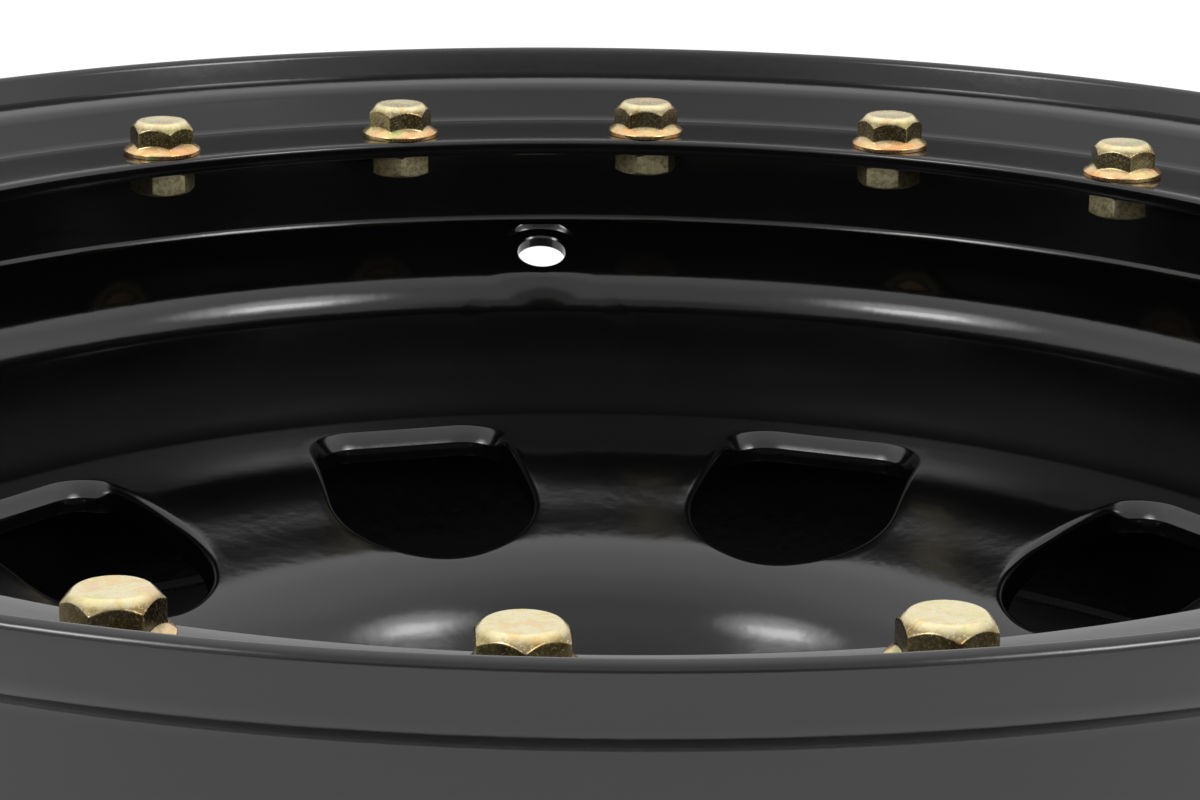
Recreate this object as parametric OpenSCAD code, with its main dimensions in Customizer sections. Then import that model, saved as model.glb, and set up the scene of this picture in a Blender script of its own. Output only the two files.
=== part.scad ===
// Steel off-road wheel, 16 x 8 inch, with a ring of bolts that looks like a beadlock.
// The axis of the wheel is Z, the face looks up, and the hub mounting face is at Z = 0.
// The valve hole lies on +Y. Angles are counted from +Y, clockwise as seen from the face.

/* [Rim] */
// Diameter of the bead seats: 405.6 is a 16 inch rim
seat_dia = 405.6; // [380.2:0.1:436.6]
// Width between the two flange faces that hold the tyre: 203.2 is 8 inch
rim_width = 203.2; // [190:0.1:230]
// Height of a flange above the bead seat
flange_height = 17.3; // [15:0.1:20]
// How far the outboard flange curls past the face that holds the tyre
curl_depth = 15.4; // [14.5:0.1:16]
// How far the inboard flange curls past the face that holds the tyre
curl_depth_low = 10; // [9.7:0.1:13]
// Outer radius of the curl of the outboard flange
curl_radius = 9.5; // [8:0.1:9.5]
// Thickness of the rolled steel of the rim
rim_sheet = 3.2; // [2.5:0.1:4]
// Distance from the inboard lip to the hub mounting face: 101.6 is 4 inch
backspacing = 101.6; // [95:0.1:115]
// Inner radius of the drop well, where the disc is pressed in
well_radius = 178.5; // [172:0.1:182]
// Slope of the ledge between the outboard bead seat and the drop well, from level
ledge_angle = 33; // [25:1:40]
// Diameter of the valve hole
valve_dia = 11.5; // [8.3:0.1:15.7]

/* [Disc] */
// Thickness of the pressed centre disc
disc_sheet = 5; // [4:0.1:6.4]
// Height of the disc's crown above the hub mounting face
crown_height = 47.6; // [40:0.1:56]
// Slope of the band that carries the windows, from level
band_angle = 18.5; // [10:0.5:24]
// Slope of the wall of the central bowl, from level
bowl_angle = 48; // [40:1:60]
// Turn of the disc against the valve hole
disc_turn = 5.8; // [0:0.1:36]
// Number of windows
window_count = 10; // [8:1:12]
// Distance of a window's centre from the wheel's axis, along the level
window_place = 136; // [128:0.5:140]
// Radius of the round inner end of a window
window_round = 21.7; // [16:0.1:24]
// Distance from a window's centre to its straight outer edge
window_reach = 22; // [16:0.1:24]
// Radius of a window's two outer corners
window_corner = 9.5; // [5:0.1:12]
// Sideways distance from a window's centre to the middle of its corner arcs
window_spread = 14.5; // [8:0.1:15]
// How far the edge of a window is turned in
edge_turn = 3; // [2:0.1:5]

/* [Hub] */
// Diameter of the centre bore
bore_dia = 78.1; // [60:0.1:90]
// Number of lug holes
lug_count = 5; // [4:1:6]
// Diameter of the circle of the lug holes: 127 is 5 inch
lug_circle = 127; // [114.3:0.1:130]
// Diameter of a lug hole
lug_dia = 15.5; // [13:0.1:16.5]
// Height of the pressed boss round a lug hole
lug_boss = 3; // [1:0.1:4]

/* [Ring] */
// Depth of the ring's face below the outboard lip
ring_depth = 14.4; // [14:0.1:16]
// Thickness of the ring
ring_sheet = 3.5; // [3:0.1:5]
// Inner radius of the ring
ring_inner = 176.8; // [174:0.1:178]
// Height of the ring's raised edge above its face
raised_height = 8.5; // [7:0.1:9]
// Radius of the rounded top of the raised edge
raised_round = 5.8; // [5:0.1:6]
// Number of bolts in the ring
bolt_count = 20; // [16:1:24]
// Radius of the circle of bolts
bolt_circle = 186; // [185.8:0.1:188]
// Turn of the first bolt against the valve hole
ring_turn = 7.5; // [0:0.1:18]

/* [Fasteners] */
// Diameter of the bolt's thread
thread_dia = 8; // [6:1:8]
// Width across the flats of a bolt head and of a nut
across_flats = 13; // [12.7:0.1:13.5]
// Height of a bolt head with its flange
head_height = 7.6; // [7:0.1:8.5]
// Diameter of the flange of a bolt
flange_dia = 17.6; // [16.5:0.1:18]
// Height of a nut
nut_height = 5.5; // [4:0.1:6.8]

/* [Hidden] */
$fn = 96;
// Largest turn in degrees between two points of a bend
bend_step = 12;
// Slope of a bead seat, which lets the tyre wedge itself on
seat_angle = 5;
lip_top = rim_width + curl_depth + curl_depth_low - backspacing;
lip_low = -backspacing;
rim_half = rim_sheet / 2;
disc_half = disc_sheet / 2;
lip_line = seat_dia / 2 + flange_height - rim_half;
seat_line = seat_dia / 2 - rim_half;
web_top = lip_top - curl_depth + rim_half;
web_low = lip_low + curl_depth_low - rim_half;
curl_radius_low = 8;
// Radius of the bend between a bead seat and its flange, on the middle of the sheet
heel_bend = 8.1;
// How far a bead seat runs in from the flange before the sheet turns down to the well
seat_run_top = 25.44;
seat_run_low = 30;
crease_line = seat_line - seat_run_top * tan(seat_angle);
crease_low_line = seat_line - seat_run_low * tan(seat_angle);
crease_height = web_top - seat_run_top;
crease_low_height = web_low + seat_run_low;
well_line = well_radius + rim_half;
crest_height = crease_height - (crease_line - well_line) * tan(ledge_angle);
// Middle of the bend between the outboard bead seat and its flange, and its radius inside the rim
heel_middle = [seat_line + heel_bend * tan(45 - seat_angle / 2), web_top - heel_bend];
heel_round = heel_bend + rim_half;
crease_bend = 4.6;
crest_bend = 10.4;
well_low = 5;
well_low_bend = 12;

valve_place = 188.7;
valve_tilt = 24;
valve_seat_radius = 9;
valve_boss_radius = 11.5;
valve_spot_height = 6;
// The valve's seat crosses the middle of the ledge at the hole
valve_height = crease_height - (crease_line - valve_place) * tan(ledge_angle)
    + rim_half / cos(ledge_angle);

flange_line = well_radius - disc_half;
flange_low = 14;
crown_line = crown_height - disc_half;
crown_bend = 6.5;
shoulder_place = 153;
shoulder_bend = 98;
bowl_place = 111.5;
bowl_top = crown_line - (shoulder_place - bowl_place) * tan(band_angle);
bowl_bend = 12;
pad_place = bowl_place - (bowl_top - disc_half) / tan(bowl_angle);
pad_bend = 10;
window_height = crown_line - (shoulder_place - window_place) * tan(band_angle);
// Radius of the rolled edge of a window on the face of the sheet
edge_radius = 6.5;
flare_rise = 2;
collar_wall = 4;

lug_boss_radius = 14;
lug_boss_foot = 17;
lug_back_radius = 11;
lug_seat_depth = 3;
lug_seat_half_angle = 30;

ring_top = lip_top - ring_depth;
ring_low = ring_top - ring_sheet;
ring_edge = 1;
ring_clearance = 0.4;
// Gap that keeps the ring off the rim, and the places of the raised edge's top and of its outer foot
ring_gap = 0.1;
raised_line = 208.95;
raised_foot = 211.2;
raised_slope = 60;
raised_middle = [raised_line, ring_top + raised_height - raised_round];
head_chamfer_flat = 5.4;
flange_edge = 1;
flange_rise = 1.9;
flange_neck = 6;
nut_chamfer = 0.5;
thread_short = 0.3;

// Turn of each head and each nut: they stop at any angle when they are tight
head_turns = [2, 17, 13, 40, 52, 8, 33, 21, 47, 24, 38, 32, 5, 56, 28, 11, 44, 36, 19, 1];
nut_turns = [20, 4, 50, 31, 14, 42, 7, 55, 26, 37, 12, 48, 29, 2, 41, 17, 34, 9, 46, 20];

weld_leg = 4.5;
disc_weld_count = 10;
disc_weld_angle = 16;
ring_weld_leg = 3.5;
ring_weld_count = 20;
ring_weld_angle = 5;

black_paint = [0.05, 0.05, 0.055];
yellow_zinc = [0.85, 0.72, 0.38];
dull_zinc = [0.62, 0.56, 0.36];

// A name with a number of two digits
function numbered(word, i) = str(word, i < 10 ? "0" : "", i);

// Entry i of a list, counted from 1, over and over
function pick(list, i) = list[(i - 1) % len(list)];

// Bent sheet: a path of corners [radius, height], each corner with a bend radius
function unit(v) = v / norm(v);
function left_of(v) = [-v[1], v[0]];
function turned(v, a) = [v[0] * cos(a) - v[1] * sin(a), v[0] * sin(a) + v[1] * cos(a)];
function turn_angle(u, w) = atan2(u[0] * w[1] - u[1] * w[0], u * w);

// Points of one bend, on a line that runs to the left of the path by the offset
function bend_points(a, b, c, bend, offset) =
    let (
        u = unit(b - a),
        angle = turn_angle(u, unit(c - b)),
        side = sign(angle),
        start = b - u * bend * tan(abs(angle) / 2),
        middle = start + left_of(u) * side * bend,
        steps = max(1, ceil(abs(angle) / bend_step))
    )
    [for (k = [0 : steps]) middle + turned(-left_of(u) * side, angle * k / steps) * (bend - side * offset)];

// One whole side of the sheet
function sheet_side(path, bends, offset) =
    let (last = len(path) - 1)
    concat(
        [path[0] + left_of(unit(path[1] - path[0])) * offset],
        [for (i = [1 : last - 1]) each bend_points(path[i - 1], path[i], path[i + 1], bends[i - 1], offset)],
        [path[last] + left_of(unit(path[last] - path[last - 1])) * offset]
    );

// The cut end of the sheet past a point of its path, flat in the middle with rounded corners,
// from the left side to the right side
function cut_end(point, along, half) =
    let (
        forward = unit(along),
        round_corner = 0.65 * half,
        inset = half - round_corner,
        corner = point + forward * inset
    )
    concat(
        [for (a = [90 : -30 : 0]) corner + left_of(forward) * inset + turned(forward, a) * round_corner],
        [for (a = [0 : -30 : -90]) corner - left_of(forward) * inset + turned(forward, a) * round_corner]
    );

function backwards(list) = [for (i = [len(list) - 1 : -1 : 0]) list[i]];

// Outline of a sheet, with its cut ends rounded where that is asked for
function sheet_outline(path, bends, half, round_first, round_last) =
    let (last = len(path) - 1)
    concat(
        sheet_side(path, bends, half),
        round_last ? cut_end(path[last], path[last] - path[last - 1], half) : [],
        backwards(sheet_side(path, bends, -half)),
        round_first ? cut_end(path[0], path[0] - path[1], half) : []
    );

rim_path = [
    [lip_line, lip_top - rim_half],
    [lip_line, web_top],
    [seat_line, web_top],
    [crease_line, crease_height],
    [well_line, crest_height],
    [well_line, well_low],
    [crease_low_line, crease_low_height],
    [seat_line, web_low],
    [lip_line, web_low],
    [lip_line, lip_low + rim_half]
];
rim_bends = [
    curl_radius - rim_half, heel_bend, crease_bend, crest_bend,
    well_low_bend, crease_bend, heel_bend, curl_radius_low - rim_half
];

disc_path = [
    [flange_line, flange_low],
    [flange_line, crown_line],
    [shoulder_place, crown_line],
    [bowl_place, bowl_top],
    [pad_place, disc_half],
    [bore_dia / 2, disc_half]
];
disc_bends = [crown_bend, shoulder_bend, bowl_bend, pad_bend];

// Turn at which the bend under the ring reaches a height, on a line that keeps a gap to the rim
function heel_turn(height, gap) = asin((height - heel_middle[1]) / (heel_round + gap));

// Points of that line from one height up to another
function heel_line(low, high, gap) =
    let (
        start = heel_turn(low, gap),
        turn = heel_turn(high, gap) - start,
        steps = max(1, ceil(turn / bend_step))
    )
    [for (k = [0 : steps])
        let (a = start + turn * k / steps)
        heel_middle + (heel_round + gap) * [-cos(a), sin(a)]];

// Places a child at a clockwise angle from +Y, with its own +Y pointing away from the axis
module around(angle) {
    rotate([0, 0, -angle]) children();
}

// Rim: one rolled sheet, with a pressed flat and a hole for the valve
module rim_barrel() {
    color(black_paint)
    difference() {
        union() {
            rotate_extrude() polygon(sheet_outline(rim_path, rim_bends, rim_half, true, true));
            valve_seat() translate([0, 0, -rim_sheet]) cylinder(h = rim_sheet, r = valve_boss_radius);
        }
        valve_seat() cylinder(h = valve_spot_height, r = valve_seat_radius);
        valve_seat() translate([0, 0, -rim_sheet - valve_spot_height])
            cylinder(h = valve_spot_height, r = valve_seat_radius);
        valve_seat() translate([0, 0, -2 * rim_sheet]) cylinder(h = 3 * rim_sheet, d = valve_dia);
    }
}

// Frame of the valve's seat: its own Z stands up from the flat
module valve_seat() {
    translate([0, valve_place, valve_height]) rotate([valve_tilt, 0, 0]) children();
}

// Disc: one pressed sheet, crowned at the rim, with a band of windows round a deep bowl
module wheel_disc() {
    color(black_paint)
    difference() {
        union() {
            rotate_extrude() polygon(sheet_outline(disc_path, disc_bends, disc_half, false, false));
            each_window() translate([0, 0, -disc_half - edge_turn]) linear_extrude(edge_turn + disc_half)
                window_outline(collar_wall);
            each_lug() cylinder(h = disc_sheet + lug_boss, r1 = lug_boss_foot, r2 = lug_boss_radius);
        }
        each_window() translate([0, 0, -2 * disc_sheet]) linear_extrude(4 * disc_sheet) window_outline(0);
        each_window() window_flare();
        each_lug() lug_hole();
    }
}

module each_window() {
    for (i = [0 : window_count - 1])
        around(disc_turn + (i + 0.5) * 360 / window_count)
            translate([0, window_place, window_height]) rotate([band_angle, 0, 0]) children();
}

// Outline of a window, grown outwards by a margin: a large arc towards the hub and two corner arcs
// joined by straight edges. Each tangent point lies where the edge leaves an arc at a right angle.
module window_outline(margin) {
    corner_middle = [window_spread, window_reach - window_corner];
    gap = norm(corner_middle);
    edge_angle = atan2(corner_middle[1], corner_middle[0])
        - acos((window_round - window_corner) / gap);
    polygon([
        for (a = [90 : -10 : edge_angle + 5]) corner_middle + (window_corner + margin) * [cos(a), sin(a)],
        for (k = [0 : 24])
            let (a = edge_angle - k * (180 + 2 * edge_angle) / 24)
            (window_round + margin) * [cos(a), sin(a)],
        for (a = [edge_angle + 5 : 10 : 90])
            [-corner_middle[0], corner_middle[1]] + (window_corner + margin) * [-cos(a), sin(a)]
    ]);
}

// The edge of a window rolls down from the face of the sheet, as a quarter round in three slopes.
// Each cutter starts above the face and keeps one slope.
module window_flare() {
    for (a = [0 : 30 : 60]) {
        near = edge_radius * [1 - sin(a + 30), 1 - cos(a + 30)];
        far = edge_radius * [1 - sin(a), 1 - cos(a)];
        slope = (far[0] - near[0]) / (near[1] - far[1]);
        top = window_round + far[0] + (far[1] + flare_rise) * slope;
        foot = window_round + near[0];
        translate([0, 0, disc_half + flare_rise]) mirror([0, 0, 1])
            linear_extrude(height = near[1] + flare_rise, scale = foot / top, slices = 1)
                scale(top / window_round) window_outline(0);
    }
}

// A lug hole lies in line with each second spoke
module each_lug() {
    for (i = [0 : lug_count - 1])
        around(disc_turn + i * 360 / lug_count) translate([0, lug_circle / 2, 0]) children();
}

// A lug hole with its conical seat, pressed up from behind
module lug_hole() {
    top = disc_sheet + lug_boss;
    seat_spread = lug_seat_depth * tan(lug_seat_half_angle);
    translate([0, 0, -1]) cylinder(h = top + 2, d = lug_dia);
    translate([0, 0, top - lug_seat_depth])
        cylinder(h = lug_seat_depth, r1 = lug_dia / 2, r2 = lug_dia / 2 + seat_spread);
    translate([0, 0, -1]) cylinder(h = lug_boss + 1, r = lug_back_radius);
}

// Ring: a flat plate with one hole for each bolt and a raised, rounded edge that lies on the
// bend and the flange of the rim
module beadlock_ring() {
    web_face = web_top + rim_half + ring_gap;
    quarter = [for (a = [90 : 30 : 180]) ring_edge * [cos(a), sin(a)]];
    wall_top = raised_middle + raised_round * [-sin(raised_slope), cos(raised_slope)];
    wall_foot = wall_top[0] - (wall_top[1] - ring_top) / tan(raised_slope);
    color(black_paint)
    difference() {
        rotate_extrude() polygon(concat(
            [[ring_inner, ring_low]],
            heel_line(ring_low, web_face, ring_gap),
            [[raised_foot, web_face]],
            [for (a = [30 : 12 : 90 + raised_slope]) raised_middle + raised_round * [cos(a), sin(a)]],
            [[wall_foot, ring_top]],
            [for (p = quarter) [ring_inner + ring_edge, ring_top - ring_edge] + p]
        ));
        each_bolt() translate([0, 0, ring_low - 1])
            cylinder(h = ring_sheet + 2, r = thread_dia / 2 + ring_clearance);
    }
}

module each_bolt() {
    for (i = [1 : bolt_count]) at_bolt(i) children();
}

module at_bolt(i) {
    around(ring_turn + (i - 1) * 360 / bolt_count) translate([0, bolt_circle, 0]) children();
}

// Hex with its corners cut by a cone on the upper side
module chamfered_hex(height, flat_radius) {
    corner = across_flats / sqrt(3);
    intersection() {
        cylinder(h = height, r = corner, $fn = 6);
        translate([0, 0, height - (2 * corner - flat_radius)])
            cylinder(h = 2 * corner - flat_radius, r1 = 2 * corner, r2 = flat_radius);
    }
}

// Hex flange bolt: its head sits on the ring and its thread ends in the nut
module ring_bolt(i) {
    thread_length = ring_sheet + nut_height - thread_short;
    color(yellow_zinc)
    at_bolt(i) translate([0, 0, ring_top]) {
        rotate([0, 0, pick(head_turns, i)]) chamfered_hex(head_height, head_chamfer_flat);
        cylinder(h = flange_edge, d = flange_dia);
        translate([0, 0, flange_edge])
            cylinder(h = flange_rise, r1 = flange_dia / 2, r2 = flange_neck);
        translate([0, 0, -thread_length]) cylinder(h = thread_length + 1, d = thread_dia);
    }
}

// Hex nut, tight under the ring, chamfered on both sides
module ring_nut(i) {
    color(dull_zinc)
    at_bolt(i) translate([0, 0, ring_low - nut_height]) rotate([0, 0, pick(nut_turns, i)])
    difference() {
        intersection() {
            chamfered_hex(nut_height, across_flats / 2 - nut_chamfer);
            translate([0, 0, nut_height]) mirror([0, 0, 1])
                chamfered_hex(nut_height, across_flats / 2 - nut_chamfer);
        }
        translate([0, 0, -1]) cylinder(h = nut_height + 2, d = thread_dia);
    }
}

// Stitch welds between the end of the disc's flange and the drop well
module disc_weld_beads() {
    color(black_paint)
    for (i = [0 : disc_weld_count - 1])
        around(disc_turn + i * 360 / disc_weld_count)
            rotate([0, 0, 90 - disc_weld_angle / 2]) rotate_extrude(angle = disc_weld_angle)
                polygon([
                    [well_radius, flange_low],
                    [well_radius, flange_low - weld_leg],
                    [well_radius - weld_leg, flange_low]
                ]);
}

// Stitch welds under the ring, one between each pair of nuts
module ring_weld_beads() {
    rim_side = heel_line(ring_low - ring_weld_leg, ring_low, 0);
    color(black_paint)
    for (i = [0 : ring_weld_count - 1])
        around(ring_turn + (i + 0.5) * 360 / ring_weld_count)
            rotate([0, 0, 90 - ring_weld_angle / 2]) rotate_extrude(angle = ring_weld_angle)
                polygon(concat(rim_side, [[rim_side[0][0] - ring_weld_leg, ring_low]]));
}

rim_barrel();
wheel_disc();
beadlock_ring();
disc_weld_beads();
ring_weld_beads();
for (i = [1 : bolt_count]) {
    ring_bolt(i);
    ring_nut(i);
}
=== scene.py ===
# %% [markdown]
# # A gloss black off-road wheel
# The wheel lies on its inboard lip and the camera looks over its far side into the drop well.
# Everything that shows is bent steel sheet under a thick coat of gloss black, plus a ring of
# bright bolts. The frame brings the solids in their places. Each one is then dressed with a
# finer surface, worked out with numpy from the same named sizes.

# %% The frame and the tools
import math

import bmesh
import bpy
import numpy as np
from mathutils import Matrix


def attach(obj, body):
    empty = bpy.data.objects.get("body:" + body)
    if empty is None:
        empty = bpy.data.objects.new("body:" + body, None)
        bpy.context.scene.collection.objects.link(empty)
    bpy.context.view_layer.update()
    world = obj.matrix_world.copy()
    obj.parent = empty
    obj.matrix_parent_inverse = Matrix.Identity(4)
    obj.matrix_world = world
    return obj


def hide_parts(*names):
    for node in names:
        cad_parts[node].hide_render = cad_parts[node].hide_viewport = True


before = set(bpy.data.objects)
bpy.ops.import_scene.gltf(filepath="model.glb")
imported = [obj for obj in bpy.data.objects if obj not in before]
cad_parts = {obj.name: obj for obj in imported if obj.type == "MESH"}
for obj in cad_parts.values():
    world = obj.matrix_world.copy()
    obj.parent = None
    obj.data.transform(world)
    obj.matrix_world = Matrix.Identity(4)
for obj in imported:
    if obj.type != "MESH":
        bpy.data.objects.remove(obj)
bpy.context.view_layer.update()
scene = bpy.context.scene
MM = 0.001
print("solids in the frame:", len(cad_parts))

# %% [markdown]
# ## Camera
# The photo was taken from close by with a long lens, about 16 degrees above the level of the
# lip. The camera's place is given by its distance from the wheel's axis, its height over the
# hub's mounting face, and its turn against the valve hole. A hair of roll is part of the
# photo's framing.

# %% Camera
LIP_TOP = 127.0
CAMERA_TURN = 184.4
CAMERA_DISTANCE = 632.4
CAMERA_HEIGHT = 277.1
CAMERA_PITCH = 15.73
CAMERA_ROLL = 0.70
FOCAL_LENGTH = 105.2


def compass(turn):
    """Level unit vector at a clockwise angle in degrees from +Y: (sin turn, cos turn, 0)."""
    return np.array([math.sin(math.radians(turn)), math.cos(math.radians(turn)), 0.0])


def pose(right, up, backward, place):
    """Matrix of a camera or lamp, which both look against their own backward direction."""
    columns = [right, up, backward, place]
    return Matrix([[float(c[i]) for c in columns] for i in range(3)] + [[0, 0, 0, 1]])


def camera_matrix():
    """Pose of the camera: it looks ahead and down by the pitch, and then rolls a little."""
    up = np.array([0.0, 0.0, 1.0])
    pitch = math.radians(CAMERA_PITCH)
    roll = math.radians(CAMERA_ROLL)
    forward = compass(CAMERA_TURN - 180) * math.cos(pitch) - up * math.sin(pitch)
    right = np.cross(forward, up)
    right /= np.linalg.norm(right)
    above = np.cross(right, forward)
    rolled_right = math.cos(roll) * right + math.sin(roll) * above
    rolled_up = math.cos(roll) * above - math.sin(roll) * right
    place = (compass(CAMERA_TURN) * CAMERA_DISTANCE + up * CAMERA_HEIGHT) * MM
    return pose(rolled_right, rolled_up, -forward, place)


camera_data = bpy.data.cameras.new("camera")
camera_data.lens = FOCAL_LENGTH
camera_data.sensor_width = 36
camera_data.clip_start = 0.01
camera = bpy.data.objects.new("camera", camera_data)
camera.matrix_world = camera_matrix()
scene.collection.objects.link(camera)
scene.camera = camera
print("camera at", [round(v, 3) for v in camera.matrix_world.translation])

# %% [markdown]
# ## From grids of points to meshes
# Every surface here is a grid: rows along a profile and columns around the wheel or around a
# hole. Neighbouring grids share their edge points, so they can be welded into one closed
# shell. An alternative is to cut the holes with booleans, but those leave long thin faces that
# show in a glossy coat. The weld compares whole arrays, and no loop runs over the points.

# %% Welding grids into a closed mesh
WELD_DISTANCE = 1e-6
DEGENERATE = 1e-7
SHARP_ANGLE = 38


def weld(grids):
    """Joins grids [row, column, xyz] in mm: points within a micron become one point."""
    points = np.concatenate([g.reshape(-1, 3) for g in grids]) * MM
    keys = np.round(points / WELD_DISTANCE).astype(np.int64)
    kept, index = np.unique(keys, axis=0, return_index=True, return_inverse=True)[1:]
    index = index.reshape(-1)
    faces = []
    start = 0
    for g in grids:
        rows, columns = g.shape[:2]
        i = index[start : start + rows * columns].reshape(rows, columns)
        quads = [i[:-1, :-1], i[:-1, 1:], i[1:, 1:], i[1:, :-1]]
        faces.append(np.stack(quads, -1).reshape(-1, 4))
        start += rows * columns
    return points[kept], np.concatenate(faces).tolist()


def capped(grids):
    """Welds grids and closes the first and the last row of each with a flat cap."""
    points, faces = weld(grids)
    for grid in grids:
        for row in (grid[0], grid[-1]):
            faces.append([int(np.argmin(np.sum((points - p * MM) ** 2, -1))) for p in row[:-1]])
    return points, faces


def make_object(name, points, faces, material, nodes):
    """A closed mesh object that rides on the wheel and stands for the named solids."""
    mesh = bpy.data.meshes.new(name)
    mesh.from_pydata(points, [], faces)
    work = bmesh.new()
    work.from_mesh(mesh)
    bmesh.ops.dissolve_degenerate(work, dist=DEGENERATE, edges=work.edges)
    bmesh.ops.recalc_face_normals(work, faces=work.faces)
    open_edges = sum(not edge.is_manifold for edge in work.edges)
    work.to_mesh(mesh)
    work.free()
    mesh.polygons.foreach_set("use_smooth", np.ones(len(mesh.polygons), dtype=bool))
    mesh.set_sharp_from_angle(angle=math.radians(SHARP_ANGLE))
    mesh.materials.append(material)
    piece = bpy.data.objects.new(name, mesh)
    scene.collection.objects.link(piece)
    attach(piece, "root")
    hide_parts(*nodes)
    mesh.calc_loop_triangles()
    print(name, "triangles:", len(mesh.loop_triangles), "open edges:", open_edges)
    return piece


def around(section, a):
    """Carries points (radius, height) round the axis: x = r sin a, y = r cos a, z = h."""
    r = section[..., 0]
    return np.stack([r * np.sin(a), r * np.cos(a), section[..., 1] + 0 * a], -1)


def revolve(profile, turns):
    """Grid of a profile of (radius, height), turned about the axis to every angle in degrees."""
    return around(profile[:, None, :], np.radians(np.asarray(turns))[None, :])


def fan(inner, border, shares):
    """A grid with more rows, from its last row out to a border, at shares of that way."""
    return np.concatenate([inner, inner[-1] + shares * (border - inner[-1])])


def corner_turns(along, down):
    """Angles in radians round a hole, in step with a cell's border from its first corner."""
    counts = [along, down, along, down]
    turns = [np.linspace(135 - 90 * k, 45 - 90 * k, n + 1)[:-1] for k, n in enumerate(counts)]
    return np.radians(np.concatenate(turns + [[-225.0]]))


def smooth_step(x):
    """0 below 0, 1 above 1, and 3x^2 - 2x^3 between, so both ends are level."""
    x = np.clip(x, 0, 1)
    return x * x * (3 - 2 * x)


def ring_turns(count, start=0.0):
    """Angles in degrees all the way round, with the first one repeated at the end."""
    return start + np.linspace(0, 360, count + 1)


# %% [markdown]
# ## Bent sheet
# Rim and disc are steel sheet that was bent along circles. A bent sheet is a path of corners,
# each with a bend radius, and its two faces are lines on the left and on the right of that
# path. Both faces get the same number of points, so a point on one face always has its
# partner straight through the sheet. This is the construction of the solids as well, only
# with shorter steps, because a glossy coat shows every flat.

# %% Faces of a bent sheet
BEND_STEP = 3.5
STRAIGHT_STEP = 4.0


def left_of(v):
    """A level vector turned a quarter turn to the left."""
    return np.array([-v[1], v[0]])


def unit(v):
    return v / np.linalg.norm(v)


def sheet_faces(corners, bends, half):
    """The two faces of a sheet as (right, left) arrays of (radius, height).

    In a bend the offset line is an arc about the bend's middle, with the bend radius made
    larger or smaller by half the sheet; long straight runs are divided evenly.
    """
    corners = [np.array(c, float) for c in corners]
    right = []
    left = []

    def put(point, normal):
        right.append(point - normal * half)
        left.append(point + normal * half)

    put(corners[0], left_of(unit(corners[1] - corners[0])))
    for a, b, c, bend in zip(corners, corners[1:], corners[2:], bends):
        u = unit(b - a)
        w = unit(c - b)
        angle = math.atan2(u[0] * w[1] - u[1] * w[0], float(u @ w))
        side = 1 if angle > 0 else -1
        middle = b - u * bend * math.tan(abs(angle) / 2) + left_of(u) * side * bend
        steps = max(2, math.ceil(math.degrees(abs(angle)) / BEND_STEP))
        for turned in np.linspace(0, angle, steps + 1):
            n = math.cos(turned) * left_of(u) - math.sin(turned) * u
            put(middle - n * side * bend, n)
    put(corners[-1], left_of(unit(corners[-1] - corners[-2])))
    right = np.array(right)
    left = np.array(left)
    middle = (right + left) / 2
    lengths = np.linalg.norm(np.diff(middle, axis=0), axis=1)
    places = [
        i + np.arange(n) / n
        for i, n in enumerate(np.maximum(1, np.ceil(lengths / STRAIGHT_STEP)).astype(int))
    ]
    places = np.concatenate(places + [[len(lengths)]])
    return at_places(right, places), at_places(left, places)


def at_places(line, places):
    """Points of a line at fractional indices, each coordinate read off by interpolation."""
    index = np.arange(len(line))
    return np.stack([np.interp(places, index, line[:, k]) for k in range(line.shape[1])], -1)


def half_round(start, end, steps=8):
    """Half circle from start to end, on the right of the way from start to end, ends left out."""
    middle = (start + end) / 2
    arm = start - middle
    turns = np.linspace(0, math.pi, steps + 1)[1:-1, None]
    return middle + np.cos(turns) * arm + np.sin(turns) * np.array([-arm[1], arm[0]])


# %% [markdown]
# ## Paint and plating
# The coat is a gloss powder coat: black, hard and a little wavy like orange peel. The bolts
# are plated with yellow zinc, whose colour drifts between straw, pink and green. Shader maths
# is written as Python expressions through one small class, so a line reads like a formula.

# %% A small language for shader nodes
class Wire:
    """One output socket. An expression on wires and numbers adds Math nodes."""

    def __init__(self, recipe, socket):
        self.recipe = recipe
        self.socket = socket

    def math(self, operation, a, b):
        return self.recipe.node("ShaderNodeMath", {0: a, 1: b}, operation=operation).out()

    def __add__(self, other):
        return self.math("ADD", self, other)

    def __radd__(self, other):
        return self.math("ADD", other, self)

    def __sub__(self, other):
        return self.math("SUBTRACT", self, other)

    def __rsub__(self, other):
        return self.math("SUBTRACT", other, self)

    def __mul__(self, other):
        return self.math("MULTIPLY", self, other)

    def __rmul__(self, other):
        return self.math("MULTIPLY", other, self)


class Placed:
    """A node that is in the tree, whose outputs come back as wires."""

    def __init__(self, recipe, node):
        self.recipe = recipe
        self.node = node

    def out(self, key=0):
        return Wire(self.recipe, self.node.outputs[key])


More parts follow.
